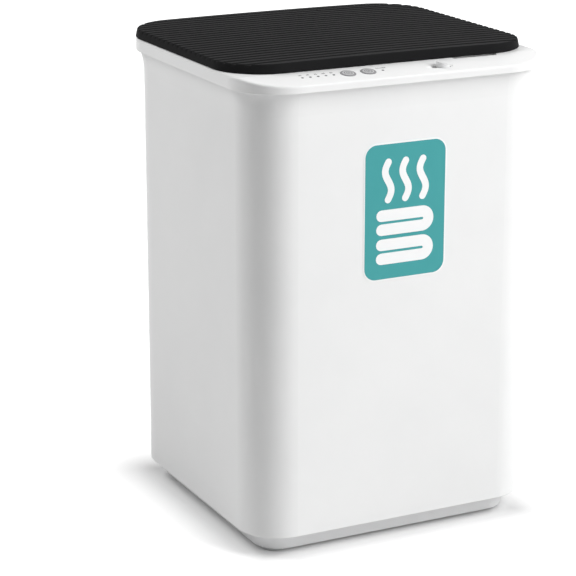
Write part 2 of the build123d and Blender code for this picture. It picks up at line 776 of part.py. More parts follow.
def bucket_seal():
    spread = flange_width - seal_inset
    return frame_ring(
        bucket_width + 2 * spread,
        bucket_depth + 2 * spread,
        bucket_corner + spread,
        seal_width,
        flange_top,
        rim_top - rim_plate,
        bucket_setback,
    )


def wrap(gap, thickness, low, high):
    out = bucket_sheet + gap + thickness
    size = (bucket_width + 2 * out, bucket_depth + 2 * out, bucket_corner + out)
    return frame_ring(*size, thickness, low, high, bucket_setback)


def heater_band():
    return wrap(slip, heater_thickness, heater_low, heater_low + heater_height)


def insulation_wrap():
    return wrap(2 * slip + heater_thickness, wrap_thickness, wrap_low, wrap_high)


# Insulating pad under the bucket, cut out round the sensors.
def bottom_pad():
    top = bucket_floor - slip
    size = (bucket_width - 2 * pad_margin, bucket_depth - 2 * pad_margin, bucket_bottom_radius)
    pad = slab(*size, top - pad_thickness, top, bucket_setback)
    return pad - slab(*sensor_window, top - pad_thickness - 1, top + 1, bucket_setback)


def thermostat():
    disc = post(thermostat_radius, clamp_level, bucket_floor - slip / 3, 0, sensor_y)
    width, length, thickness = blade_size
    middle = (sensor_y + thermostat_radius + length / 2 - 1, clamp_level + thermostat_height / 3)
    blades = [Pos(side * blade_spread / 2, *middle) * Box(width, length, thickness) for side in (-1, 1)]
    return disc + blades


def thermostat_clamp():
    width, thickness = strap_size
    reach = stud_spread + strap_end
    top = clamp_level - slip / 3
    strap = block(-reach, reach, sensor_y - width / 2, sensor_y + width / 2, top - thickness, top)
    for side in (-1, 1):
        strap -= post(stud_radius + slip, top - 2 * thickness, top + 1, side * stud_spread, sensor_y)
    return strap


def clamp_nuts():
    radius, height = nut_size
    low = clamp_level - slip / 3 - strap_size[1] - slip / 6 - height
    nut = Pos(0, sensor_y, low) * extrude(RegularPolygon(radius, 6), amount=height)
    nut -= post(stud_radius + snug, low - 1, low + height + 1, 0, sensor_y)
    return [Pos(side * stud_spread, 0, 0) * nut for side in (-1, 1)]


def thermal_fuse():
    return along_x(0, fuse_y, fuse_z, fuse_radius, fuse_length)


# Bent strap that holds the thermal fuse against the bucket.
def fuse_clip():
    reach = fuse_radius + slip
    half = clip_width / 2
    over = reach + clip_sheet
    strap = along_x(0, fuse_y, fuse_z, over, clip_width)
    sides = block(-half, half, fuse_y - over, fuse_y + over, fuse_z, bucket_floor)
    foot = over + clip_foot
    feet = block(-half, half, fuse_y - foot, fuse_y + foot, bucket_floor - clip_sheet, bucket_floor)
    core = along_x(0, fuse_y, fuse_z, reach, 2 * clip_width)
    slot = block(-clip_width, clip_width, fuse_y - reach, fuse_y + reach, fuse_z, bucket_floor + 1)
    return strap + sides + feet - core - slot


# Power board on posts in the plinth.
def power_board():
    bx, by = board_place
    board = Pos(bx, by, board_seat) * extrude(RectangleRounded(*board_size, 3.0), amount=board_thickness)
    for x, y in corners(*board_hole_places):
        board -= post(power_screw[0] + clearance, board_seat - 1, board_top + 1, bx + x, by + y)
    return board


def board_block(x, y, width, depth, height):
    bx, by = board_place
    return Pos(bx + x, by + y, board_top + height / 2) * Box(width, depth, height)


def power_relay():
    return fillet(board_block(*relay_block).edges().filter_by(Axis.Z), 1.0)


def supply_module():
    body = board_block(*supply_block)
    return chamfer(body.edges().group_by(Axis.Z)[-1], 1.0)


def filter_capacitor():
    return fillet(board_block(*capacitor_block).edges(), 1.2)


def mains_fuse():
    x, y = fuse_place
    radius, height = fuse_tube
    clips = [board_block(x + side * fuse_spread, y, *fuse_clip_size) for side in (-1, 1)]
    bx, by = board_place
    length = 2 * fuse_spread + fuse_clip_size[0] - 1
    return along_x(bx + x, by + y, board_top + height, radius, length) + clips


def terminal_block():
    x, y = terminal_place
    body = board_block(x, y, *terminal_size)
    low = board_top + terminal_size[2] / 2 + lead_radius + 1
    for i in range(4):
        place = (board_place[0] + x + (i - 1.5) * lead_pitch, board_place[1] + y)
        body -= post(lead_radius + slip, low, board_top + terminal_size[2] + 1, *place)
    return body


def power_screws():
    bx, by = board_place
    return [screw_down(bx + x, by + y, board_top, power_screw) for x, y in corners(*board_hole_places)]


# Plug housings at both ends of the control cable.
def upper_plug():
    return on_deck(cable_x, cable_y, board_under - cable_plug[2] / 2) * Box(*cable_plug)


def cable_plugs():
    return [upper_plug(), Pos(cable_x, plug_y, board_top + cable_plug[2] / 2) * Box(*cable_plug)]


def control_cable():
    low = board_top + cable_plug[2] / 2
    top = Vector(upper_plug().center())
    start = top.Z - cable_plug[2] / 2 - 1.0
    end = plug_y - cable_plug[1] / 2 - slip / 3
    bends = (cable_x, top.Y, start), (cable_x, top.Y, low), (cable_x, end, low)
    route = FilletPolyline(*bends, radius=cable_bend)
    return sweep(Plane(route @ 0, z_dir=route % 0) * Circle(cable_radius), path=route)


# Two leads from the heater's front face to the terminal block.
def heater_leads():
    block_x, block_y = board_place[0] + terminal_place[0], board_place[1] + terminal_place[1]
    low = board_top + terminal_size[2] / 2
    leads = []
    for side in (-0.5, 0.5):
        x = block_x + side * lead_pitch
        end = block_y - terminal_size[1] / 2 - slip / 3
        corner_points = (x, lead_y, heater_low + lead_overlap), (x, lead_y, low), (x, end, low)
        route = FilletPolyline(*corner_points, radius=lead_bend)
        leads.append(sweep(Plane(route @ 0, z_dir=route % 0) * Circle(lead_radius), path=route))
    return leads


def cord_gland():
    rear = body_depth / 2
    radius, reach = gland_flange
    turn = Pos(cord_x, 0, cord_z) * Rot(-90, 0, 0)
    neck = turn * post(gland_neck, rear - 5 * shell_wall, rear + 1)
    flange = turn * post(radius, rear + slip / 3, rear + reach)
    flange = fillet(sorted(flange.edges(), key=lambda e: e.center().Y)[-1], reach / 3)
    return neck + flange - turn * post(gland_bore, rear - 6 * shell_wall, rear + 2 * reach)


def gland_nut():
    radius, thickness = gland_nut_size
    low = body_depth / 2 - shell_wall - slip / 3 - thickness
    turn = Pos(cord_x, low, cord_z) * Rot(-90, 0, 0)
    nut = turn * extrude(RegularPolygon(radius, 6), amount=thickness)
    return nut - turn * post(gland_neck + grip, -1, thickness + 1)


# Lid cover: drafted, crowned and filleted block, hollow below, ribbed on top.
def crown_radius():
    half = rim_width / 2
    return (half**2 + lid_crown**2) / (2 * lid_crown)


def about_crown(profile):
    radius = crown_radius()
    axis = Axis((0, 0, lid_top + lid_crown - radius), (0, 1, 0))
    spread = 2 * math.degrees(math.asin((rim_width / 2 + 4) / radius))
    return revolve(profile.rotate(axis, -spread / 2), axis, revolution_arc=spread)


def lid_cover():
    draft = math.degrees(math.atan2(lid_draft, lid_edge))
    plan = RectangleRounded(rim_width, lid_depth, lid_corner)
    block_up = Pos(0, lid_centre, lid_bottom) * extrude(plan, amount=lid_edge + 2 * lid_crown, taper=draft)
    y0, y1 = deck_back - 3, lid_rear + 3
    crest = lid_top + lid_crown
    low = lid_bottom - 5
    keep = Plane.YZ * make_face(Polyline((y0, low), (y1, low), (y1, crest), (y0, crest), close=True))
    cover = block_up & about_crown(keep)
    top_edges = [e for e in cover.edges() if e.bounding_box().min.Z > lid_top - 1.0]
    cover = fillet(top_edges, lid_round)
    nose = Pos(0, hinge_y, lid_bottom + hinge_inset) * Rot(0, 90, 0) * Cylinder(hinge_inset, rim_width)
    half = rim_width / 2
    under = block(-half, half, hinge_y, lid_rear + 1, lid_bottom - 1, lid_bottom + hinge_inset)
    cover -= under - nose
    cover -= lid_hollow(0, lid_bottom - 1, lid_ceiling)
    cover = cover + [hinge_boss(side) for side in (-1, 1)] + [lid_boss(x, y) for x, y in lid_screw_places]
    for side in (-1, 1):
        x = side * hinge_span / 2
        half = hinge_lug_width / 2 + 2 * slip
        reach = hinge_lug_radius + 2 * slip
        cover -= block(x - half, x + half, hinge_y - reach, lid_rear + 2, lid_bottom - 1, hinge_z + reach)
        cover -= along_x(x, hinge_y, hinge_z, hinge_pin_radius + snug, hinge_pin_length + 2 * slip)
    for x, y in lid_screw_places:
        cover -= post(lid_screw[0] + grip, lid_bottom, lid_ceiling, x, y)
    return cover - lid_grooves()


# Tapering grooves across the lid, bent to its crown.
def lid_grooves():
    first = lid_centre - (rib_count / 2 - 1) * rib_pitch
    crest = lid_top + lid_crown
    above = groove_depth  # the tools reach this far above the crest
    floor = groove_floor / 2
    mouth = groove_width - floor  # half width at the tools' top
    profile = Polyline(
        (-floor, crest - groove_depth),
        (floor, crest - groove_depth),
        (mouth, crest + above),
        (-mouth, crest + above),
        close=True,
    )
    return [about_crown(Plane.YZ * make_face(Pos(first + i * rib_pitch, 0) * profile)) for i in range(rib_count - 1)]


# Space inside the cover's walls, or a plate that fills it with a gap all round.
def lid_hollow(gap, low, high):
    side = lid_wall + lid_draft + gap
    return slab(rim_width - 2 * side, lid_depth - 2 * side, lid_corner - side, low, high, lid_centre)


# Solid part of the cover that holds a hinge pin.
def hinge_zone(side, gap, low, high):
    x = side * hinge_span / 2
    half = hinge_block_width / 2 + gap
    return block(x - half, x + half, hinge_y - hinge_block_depth - gap, lid_rear - lid_wall, low, high)


def hinge_boss(side):
    return hinge_zone(side, 0, lid_bottom + slip, lid_ceiling + bite)


def lid_boss(x, y):
    return post(lid_boss_radius, liner_high + slip, lid_ceiling + bite, x, y)


# Inner panel of the lid: a plate with a shallow plug that drops into the bucket's mouth.
def lid_liner():
    plate = lid_hollow(slip, liner_low, liner_high)
    for side in (-1, 1):
        plate -= hinge_zone(side, slip, liner_low - 1, liner_high + 1)
    plug = slab(*plug_size, liner_low - plug_depth, liner_low + 1, bucket_setback)
    plug = fillet(plug.edges().group_by(Axis.Z)[0], plug_edge)
    hollow = slab(*plug_inside, liner_low - plug_depth + plug_wall, liner_high + 1, bucket_setback)
    hollow = fillet(hollow.edges().group_by(Axis.Z)[0], pad_edge)
    plate = plate + plug + strike_boss() - hollow
    plate -= gasket_ring(slip / 2, liner_low - 1, liner_low + gasket_depth)
    plate -= strike_seat(slip / 3, slip / 3)
    for x, y in lid_screw_places:
        plate -= post(lid_screw[0] + 0.3, liner_low - 1, liner_high + 1, x, y)
        plate -= post(lid_screw[1] + 1.1, liner_low - 1, liner_low + lid_head_depth, x, y)
    for x in strike_holes:
        plate -= post(strike_screw[0] + grip, liner_low - 1, lid_ceiling - 1.0, x, strike_hole_y)
    return plate


# Outline of the strike's foot: in the liner's recess, grown by a gap all round.
def strike_seat(gap, rise):
    thickness, depth = strike_foot
    x0, x1 = strike_x[0] - 1.5 - gap, strike_x[2] + 3.5 + gap
    y0 = strike_y[0]
    return block(x0, x1, y0 - gap, y0 + depth + gap, liner_low - gap, liner_low + thickness + rise)


def strike_boss():
    x0, x1 = strike_x[0] - 3.5, strike_x[2] + 5.5
    return block(x0, x1, strike_y[0], strike_y[0] + strike_foot[1] + 2, liner_low + 1, lid_ceiling - slip)


def gasket_ring(grow, low, high):
    outer = gasket_spread + gasket_width + grow
    band = gasket_width + 2 * grow
    size = (opening_width + 2 * outer, opening_depth + 2 * outer, opening_corner + outer)
    return frame_ring(*size, band, low, high, bucket_setback)


def lid_gasket():
    return gasket_ring(0, lid_bottom, liner_low + gasket_depth - slip / 3)


def lid_insulation():
    width, depth, corner = (size - gap for size, gap in zip(plug_inside, (2 * slip, 2 * slip, slip)))
    low = liner_low - plug_depth + plug_wall + slip
    pad = slab(width, depth, corner, low, lid_ceiling - slip, bucket_setback)
    return fillet(pad.edges().group_by(Axis.Z)[0], pad_edge)


def lid_screws():
    seat = liner_low + lid_head_depth
    screw = (*lid_screw, lid_ceiling - seat - slip)
    return [screw_up(x, y, seat, screw) for x, y in lid_screw_places]


# Hooked tab below the lid's front edge, let into the liner and held by two screws.
def lid_strike():
    x0, x1, x2 = strike_x
    y0, y1 = strike_y
    stem = block(x0, x1, y0, y1, hook_low, liner_low + 0.5)
    toe = block(x1 - 1, x2, y0, y1, hook_low, hook_high)
    strike = strike_seat(0, 0) + stem + toe
    for x in strike_holes:
        strike -= post(strike_screw[0] + 0.2, liner_low - 1, liner_high, x, strike_hole_y)
        strike -= post(strike_screw[1] + 0.1, liner_low - 1, liner_low + 1.0, x, strike_hole_y)
    return strike


# Flush screws through the strike's foot.
def strike_screws():
    shank, head = strike_screw
    top = lid_ceiling - 1.0 - slip
    one = post(head, liner_low + 0.1, liner_low + 0.9, 0, strike_hole_y)
    one += post(shank, liner_low + 0.8, top, 0, strike_hole_y)
    return [Pos(x, 0, 0) * one for x in strike_holes]


def hinge_pins():
    pin = along_x(0, hinge_y, hinge_z, hinge_pin_radius, hinge_pin_length)
    return [Pos(side * hinge_span / 2, 0, 0) * pin for side in (-1, 1)]


nodes = {
    "outer_shell": outer_shell,
    "base_tray": base_tray,
    "rubber_feet": rubber_feet,
    "base_screws": base_screws,
    "top_rim": top_rim,
    "rim_screws": rim_screws,
    "inner_bucket": inner_bucket,
    "bucket_seal": bucket_seal,
    "heater_band": heater_band,
    "insulation_wrap": insulation_wrap,
    "bottom_pad": bottom_pad,
    "thermostat": thermostat,
    "thermostat_clamp": thermostat_clamp,
    "clamp_nuts": clamp_nuts,
    "thermal_fuse": thermal_fuse,
    "fuse_clip": fuse_clip,
    "control_board": control_board,
    "control_screws": control_screws,
    "tact_switches": tact_switches,
    "indicator_leds": indicator_leds,
    "light_guides": light_guides,
    "power_board": power_board,
    "power_screws": power_screws,
    "power_relay": power_relay,
    "supply_module": supply_module,
    "filter_capacitor": filter_capacitor,
    "mains_fuse": mains_fuse,
    "terminal_block": terminal_block,
    "cable_plugs": cable_plugs,
    "control_cable": control_cable,
    "heater_leads": heater_leads,
    "cord_gland": cord_gland,
    "gland_nut": gland_nut,
    "latch_guide": latch_guide,
    "guide_screws": guide_screws,
    "latch_knob": latch_knob,
    "latch_bar": latch_bar,
    "latch_screw": latch_screw,
    "timer_button": lambda: button(button_centres[0]),
    "power_button": lambda: button(button_centres[1]),
    "lid_cover": lid_cover,
    "lid_liner": lid_liner,
    "lid_gasket": lid_gasket,
    "lid_insulation": lid_insulation,
    "lid_screws": lid_screws,
    "lid_strike": lid_strike,
    "strike_screws": strike_screws,
    "hinge_pins": hinge_pins,
}


# Several loose solids share one node; a single one is written as it is.
def as_node(made):
    pieces = made if isinstance(made, list) else [made]
    solids = [solid for piece in pieces for solid in piece.solids()]
    return solids[0] if len(solids) == 1 else Compound(children=solids)


os.makedirs("parts", exist_ok=True)
for name, make in nodes.items():
    export_step(as_node(make()), f"parts/{name}.step")
    print("wrote", name)
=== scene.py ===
import math
import bpy
import bmesh
from mathutils import Matrix, Vector


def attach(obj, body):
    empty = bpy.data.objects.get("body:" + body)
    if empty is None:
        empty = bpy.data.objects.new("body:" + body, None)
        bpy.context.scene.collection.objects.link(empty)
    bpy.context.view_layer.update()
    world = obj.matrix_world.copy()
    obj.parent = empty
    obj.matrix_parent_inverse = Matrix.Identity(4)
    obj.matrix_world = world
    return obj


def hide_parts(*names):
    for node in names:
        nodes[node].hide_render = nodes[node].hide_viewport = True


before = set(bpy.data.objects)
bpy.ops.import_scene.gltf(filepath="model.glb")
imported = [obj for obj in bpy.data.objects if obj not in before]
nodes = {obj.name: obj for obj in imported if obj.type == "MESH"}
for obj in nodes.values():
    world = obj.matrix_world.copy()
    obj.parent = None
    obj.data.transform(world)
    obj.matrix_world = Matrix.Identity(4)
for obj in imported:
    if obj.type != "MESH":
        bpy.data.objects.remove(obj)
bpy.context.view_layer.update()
print("frame loaded")

# camera, lamps and floor

cameraSetup = {
    "place": (-0.9639, -1.8374, 0.8253),
    "turn": 26.5,  # degrees to the right of straight ahead
    "tilt": 16.51,  # degrees down
    "lens": 137.5,
}


def makeCamera(setup):
    data = bpy.data.cameras.new("camera")
    data.lens = setup["lens"]
    data.sensor_width = 36
    data.clip_end = 20
    camera = bpy.data.objects.new("camera", data)
    camera.location = setup["place"]
    camera.rotation_euler = (math.radians(90 - setup["tilt"]), 0, math.radians(-setup["turn"]))
    bpy.context.scene.collection.objects.link(camera)
    bpy.context.scene.camera = camera


studio = {
    "world": 0.15,  # even light from all round
    "lamps": [  # name, place, aimed at, size in metres, watts
        ("keyLamp", (1.8, -2.0, 2.9), (0, 0, 0.25), (1.8, 2.0), 93),
        ("frontLamp", (2.1, -2.6, 1.7), (0, 0, 0.25), (1.5, 2.0), 44),
        ("sideLamp", (-2.1, 1.6, 2.7), (0, 0, 0.25), (1.4, 1.8), 61),
    ],
    "floor": (0.72, 0.72, 0.72),
    "floorHalf": 8.0,
    "footprint": (0.135, 0.127),  # half size of the patch of floor that the object covers
    "glow": (0.06, 1.0),  # painted light: the floor's glow beside that patch and far from it, so that the background stays pale and the floor stays darker round the foot
    "glowReach": (0.0, 0.14),
    "glowRise": 0.55,  # below 1 the painted glow rises soon, so the shadow and the darker floor stay close to the foot
}


def seenRays(tree, rays):  # 1 for what the camera sees straight, in gloss or through glass
    seen = [tree.nodes.new("ShaderNodeMath") for i in range(2)]
    seen[0].operation = seen[1].operation = "MAXIMUM"
    tree.links.new(rays.outputs["Is Camera Ray"], seen[0].inputs[0])
    tree.links.new(rays.outputs["Is Glossy Ray"], seen[0].inputs[1])
    tree.links.new(seen[0].outputs["Value"], seen[1].inputs[0])
    tree.links.new(rays.outputs["Is Transmission Ray"], seen[1].inputs[1])
    return seen[1].outputs["Value"]


def makeLamps(setup):
    for name, place, aim, size, watts in setup["lamps"]:
        data = bpy.data.lights.new(name, "AREA")
        data.shape = "RECTANGLE"
        data.size, data.size_y = size
        data.energy = watts
        lamp = bpy.data.objects.new(name, data)
        lamp.location = place
        lamp.rotation_euler = (Vector(aim) - Vector(place)).to_track_quat("-Z", "Y").to_euler()
        bpy.context.scene.collection.objects.link(lamp)
    world = bpy.data.worlds.new("studioWorld")
    world.use_nodes = True
    tree = world.node_tree
    tree.nodes.clear()
    out = tree.nodes.new("ShaderNodeOutputWorld")
    soft = tree.nodes.new("ShaderNodeBackground")
    white = tree.nodes.new("ShaderNodeBackground")
    soft.inputs["Strength"].default_value = setup["world"]
    soft.inputs["Color"].default_value = (1, 1, 1, 1)
    white.inputs["Color"].default_value = (1, 1, 1, 1)
    white.inputs["Strength"].default_value = 1.0
    rays = tree.nodes.new("ShaderNodeLightPath")
    mix = tree.nodes.new("ShaderNodeMixShader")
    tree.links.new(seenRays(tree, rays), mix.inputs["Fac"])
    tree.links.new(soft.outputs["Background"], mix.inputs[1])
    tree.links.new(white.outputs["Background"], mix.inputs[2])
    tree.links.new(mix.outputs["Shader"], out.inputs["Surface"])
    bpy.context.scene.world = world


def makeFloor(setup):
    mesh = bpy.data.meshes.new("floor")
    half = setup["floorHalf"]
    corners = [(-half, -half, 0), (half, -half, 0), (half, half, 0), (-half, half, 0)]
    mesh.from_pydata(corners, [], [(0, 1, 2, 3)])
    floor = bpy.data.objects.new("floor", mesh)
    bpy.context.scene.collection.objects.link(floor)
    material = bpy.data.materials.new("paleFloor")
    material.use_nodes = True
    tree = material.node_tree
    shader = tree.nodes["Principled BSDF"]
    shader.inputs["Base Color"].default_value = (*setup["floor"], 1)
    shader.inputs["Roughness"].default_value = 0.8
    place = tree.nodes.new("ShaderNodeTexCoord")
    kinds = ("ABSOLUTE", "SUBTRACT", "MAXIMUM", "LENGTH")  # distance from the footprint's box
    steps = {name: tree.nodes.new("ShaderNodeVectorMath") for name in kinds}
    for name, step in steps.items():
        step.operation = name
    steps["SUBTRACT"].inputs[1].default_value = (*setup["footprint"], 0)
    for last, step in zip(kinds, kinds[1:]):
        tree.links.new(steps[last].outputs["Vector"], steps[step].inputs[0])
    far = tree.nodes.new("ShaderNodeMapRange")
    far.interpolation_type = "SMOOTHSTEP"
    rise = tree.nodes.new("ShaderNodeMath")
    rise.operation = "POWER"
    rise.inputs[1].default_value = setup["glowRise"]
    near, reach = (distance ** setup["glowRise"] for distance in setup["glowReach"])
    far.inputs["From Min"].default_value, far.inputs["From Max"].default_value = near, reach
    far.inputs["To Min"].default_value, far.inputs["To Max"].default_value = setup["glow"]
    rays = tree.nodes.new("ShaderNodeLightPath")
    glow = tree.nodes.new("ShaderNodeMath")
    glow.operation = "MULTIPLY"
    tree.links.new(place.outputs["Object"], steps["ABSOLUTE"].inputs[0])
    tree.links.new(steps["LENGTH"].outputs["Value"], rise.inputs[0])
    tree.links.new(rise.outputs["Value"], far.inputs["Value"])
    tree.links.new(seenRays(tree, rays), glow.inputs[0])
    tree.links.new(far.outputs["Result"], glow.inputs[1])
    # painted light: camera, gloss and glass rays see the floor glow, little beside the foot and fully far
    # from it
    shader.inputs["Emission Color"].default_value = (1, 1, 1, 1)
    tree.links.new(glow.outputs["Value"], shader.inputs["Emission Strength"])
    mesh.materials.append(material)


makeCamera(cameraSetup)
makeLamps(studio)
makeFloor(studio)
bpy.context.scene.view_settings.view_transform = "Standard"
print("camera, lamps and floor made")

# finishes


def addNode(tree, kind, place, **values):
    node = tree.nodes.new(kind)
    node.location = place
    for name, value in values.items():
        node.inputs[name].default_value = value
    return node


# fine moulding grain with faint mottling; gives a colour, a roughness and a height
def makeGrainGroup():
    tree = bpy.data.node_groups.new("mouldGrain", "ShaderNodeTree")
    face = tree.interface
    face.new_socket("Colour", in_out="INPUT", socket_type="NodeSocketColor")
    face.new_socket("Shade", in_out="INPUT", socket_type="NodeSocketColor")
    starts = {"Grain Scale": 900.0, "Mottle Scale": 14.0, "Gloss Low": 0.3, "Gloss High": 0.4}
    for name, value in starts.items():
        socket = face.new_socket(name, in_out="INPUT", socket_type="NodeSocketFloat")
        socket.default_value = value
    face.new_socket("Colour", in_out="OUTPUT", socket_type="NodeSocketColor")
    face.new_socket("Roughness", in_out="OUTPUT", socket_type="NodeSocketFloat")
    face.new_socket("Height", in_out="OUTPUT", socket_type="NodeSocketFloat")
    start = tree.nodes.new("NodeGroupInput")
    end = tree.nodes.new("NodeGroupOutput")
    place = tree.nodes.new("ShaderNodeTexCoord")
    grain = addNode(tree, "ShaderNodeTexNoise", (0, 200), Detail=3.0, Roughness=0.6)
    mottle = addNode(tree, "ShaderNodeTexNoise", (0, -200), Detail=4.0, Roughness=0.55)
    spread = addNode(tree, "ShaderNodeMapRange", (200, -200))
    spread.inputs["From Min"].default_value = 0.3
    spread.inputs["From Max"].default_value = 0.7
    tint = tree.nodes.new("ShaderNodeMix")
    tint.data_type = "RGBA"
    gloss = tree.nodes.new("ShaderNodeMapRange")
    gloss.inputs["From Min"].default_value = 0.3
    gloss.inputs["From Max"].default_value = 0.7
    link = tree.links.new
    link(place.outputs["Object"], grain.inputs["Vector"])
    link(place.outputs["Object"], mottle.inputs["Vector"])
    link(start.outputs["Grain Scale"], grain.inputs["Scale"])
    link(start.outputs["Mottle Scale"], mottle.inputs["Scale"])
    link(mottle.outputs["Fac"], spread.inputs["Value"])
    link(spread.outputs["Result"], tint.inputs[0])
    link(start.outputs["Colour"], tint.inputs[6])
    link(start.outputs["Shade"], tint.inputs[7])
    link(grain.outputs["Fac"], gloss.inputs["Value"])
    link(start.outputs["Gloss Low"], gloss.inputs["To Min"])
    link(start.outputs["Gloss High"], gloss.inputs["To Max"])
    link(tint.outputs[2], end.inputs["Colour"])
    link(gloss.outputs["Result"], end.inputs["Roughness"])
    link(grain.outputs["Fac"], end.inputs["Height"])
    return tree


grainGroup = makeGrainGroup()

# colour, shade in the mottling, roughness low and high, grain scale, grain depth in metres, more sockets
finishes = {
    "shellWhite": (
        (0.86, 0.862, 0.86), (0.84, 0.843, 0.842), (0.38, 0.46), 1500, 0.00001, {"Specular IOR Level": 0.3},
    ),
    "rimWhite": (
        (0.87, 0.872, 0.87), (0.85, 0.853, 0.852), (0.34, 0.42), 1500, 0.00001, {"Specular IOR Level": 0.3},
    ),
    "plinthGrey": ((0.83, 0.833, 0.835), (0.80, 0.803, 0.806), (0.45, 0.55), 900, 0.00003, {}),
    "lidCharcoal": (
        (0.0145, 0.0145, 0.015), (0.012, 0.012, 0.0125), (0.5, 0.6), 1300, 0.00003,
        {"Specular IOR Level": 0.015},
    ),
    "linerGrey": ((0.06, 0.061, 0.064), (0.05, 0.051, 0.054), (0.45, 0.55), 1100, 0.00003, {}),
    "buttonGrey": ((0.27, 0.27, 0.275), (0.245, 0.245, 0.25), (0.35, 0.45), 1300, 0.00002, {}),
    "knobGrey": ((0.76, 0.765, 0.765), (0.73, 0.735, 0.735), (0.32, 0.42), 1300, 0.00002, {}),
    "softRubber": ((0.05, 0.05, 0.052), (0.04, 0.04, 0.042), (0.65, 0.8), 700, 0.00004, {}),
    "siliconeGrey": ((0.42, 0.42, 0.42), (0.38, 0.38, 0.38), (0.5, 0.6), 700, 0.00002, {}),
    "bucketMetal": (
        (0.78, 0.785, 0.79), (0.70, 0.705, 0.71), (0.28, 0.42), 260, 0.00002, {"Metallic": 1.0},
    ),
    "zincSteel": ((0.62, 0.62, 0.6), (0.5, 0.5, 0.49), (0.3, 0.45), 600, 0.00001, {"Metallic": 1.0}),
    "springSteel": ((0.6, 0.6, 0.61), (0.5, 0.5, 0.51), (0.2, 0.32), 600, 0.00001, {"Metallic": 1.0}),
    "heaterMat": ((0.42, 0.10, 0.03), (0.33, 0.07, 0.02), (0.5, 0.65), 500, 0.00005, {}),
    "fibreFelt": ((0.72, 0.70, 0.64), (0.55, 0.53, 0.47), (0.85, 0.95), 900, 0.0004, {}),
    "boardGreen": ((0.02, 0.16, 0.06), (0.015, 0.12, 0.045), (0.3, 0.42), 500, 0.00002, {}),
    "caseBlack": ((0.03, 0.03, 0.03), (0.022, 0.022, 0.022), (0.4, 0.55), 900, 0.00003, {}),
    "caseBlue": ((0.04, 0.12, 0.36), (0.03, 0.10, 0.30), (0.35, 0.45), 900, 0.00002, {}),
    "lightLens": ((0.13, 0.133, 0.137), (0.11, 0.113, 0.117), (0.25, 0.35), 900, 0.00001, {}),
    "plainPlastic": ((0.64, 0.64, 0.60), (0.58, 0.58, 0.55), (0.45, 0.55), 900, 0.00003, {}),
    "wireJacket": ((0.50, 0.50, 0.48), (0.42, 0.42, 0.41), (0.5, 0.62), 700, 0.00003, {}),
    "fuseGlass": (
        (0.75, 0.78, 0.78), (0.68, 0.71, 0.71), (0.08, 0.15), 300, 0.000005, {"Transmission Weight": 0.6},
    ),
    "footGrey": ((0.55, 0.56, 0.565), (0.50, 0.51, 0.515), (0.5, 0.6), 700, 0.00003, {}),
    "iconGrey": ((0.66, 0.66, 0.665), (0.63, 0.63, 0.635), (0.4, 0.5), 2500, 0.000005, {}),
    # for the printed labels and for the painted shade at the end of the knob's groove
    "printAndShadeGrey": ((0.075, 0.077, 0.08), (0.065, 0.067, 0.07), (0.5, 0.6), 2500, 0.000005, {}),
    "badgeTeal": (
        (0.058, 0.345, 0.355), (0.052, 0.33, 0.34), (0.42, 0.5), 1800, 0.000005, {"Specular IOR Level": 0.25},
    ),
    "badgeWhite": (
        (0.93, 0.935, 0.935), (0.91, 0.915, 0.915), (0.42, 0.5), 1800, 0.000005, {"Specular IOR Level": 0.3},
    ),
}


def makeFinish(name):
    colour, shade, gloss, scale, depth, sockets = finishes[name]
    material = bpy.data.materials.new(name)
    material.use_nodes = True
    tree = material.node_tree
    shader = tree.nodes["Principled BSDF"]
    group = tree.nodes.new("ShaderNodeGroup")
    group.node_tree = grainGroup
    group.inputs["Colour"].default_value = (*colour, 1)
    group.inputs["Shade"].default_value = (*shade, 1)
    group.inputs["Grain Scale"].default_value = scale
    group.inputs["Gloss Low"].default_value = gloss[0]
    group.inputs["Gloss High"].default_value = gloss[1]
    bump = tree.nodes.new("ShaderNodeBump")
    bump.inputs["Strength"].default_value = 1.0
    bump.inputs["Distance"].default_value = depth
    tree.links.new(group.outputs["Colour"], shader.inputs["Base Color"])
    tree.links.new(group.outputs["Roughness"], shader.inputs["Roughness"])
    tree.links.new(group.outputs["Height"], bump.inputs["Height"])
    tree.links.new(bump.outputs["Normal"], shader.inputs["Normal"])
    for socket, value in sockets.items():
        shader.inputs[socket].default_value = value
    return material


finish = {name: makeFinish(name) for name in finishes}

dressedIn = {  # every other node is of zinc plated steel
    "shellWhite": ("outer_shell",),
    "rimWhite": ("top_rim",),
    "plinthGrey": ("base_tray",),
    "footGrey": ("rubber_feet",),
    "lidCharcoal": ("lid_cover",),
    "linerGrey": ("lid_liner", "lid_strike"),
    "siliconeGrey": ("lid_gasket", "bucket_seal"),
    "bucketMetal": ("inner_bucket",),
    "buttonGrey": ("timer_button", "power_button"),
    "knobGrey": ("latch_knob",),
    "lightLens": ("light_guides", "indicator_leds"),
    "springSteel": ("hinge_pins", "thermostat_clamp", "fuse_clip"),
    "heaterMat": ("heater_band",),
    "fibreFelt": ("insulation_wrap", "bottom_pad", "lid_insulation"),
    "boardGreen": ("control_board", "power_board"),
    "caseBlack": ("thermostat", "tact_switches", "supply_module"),
    "caseBlue": ("power_relay", "filter_capacitor"),
    "fuseGlass": ("mains_fuse", "thermal_fuse"),
    "softRubber": ("cord_gland",),
    "plainPlastic": ("gland_nut", "terminal_block", "cable_plugs", "latch_bar", "latch_guide"),
    "wireJacket": ("control_cable", "heater_leads"),
}


def dressNodes():
    nodeFinish = {name: kind for kind, names in dressedIn.items() for name in names}
    for name, node in nodes.items():
        node.data.materials.clear()
        node.data.materials.append(finish[nodeFinish.get(name, "zincSteel")])


dressNodes()
print("finishes made for", len(nodes), "nodes")

# shared ways of making a piece


def linkPiece(name, mesh, material):
    mesh.materials.clear()
    mesh.materials.append(finish[material])
    piece = bpy.data.objects.new(name, mesh)
    bpy.context.scene.collection.objects.link(piece)
    return piece


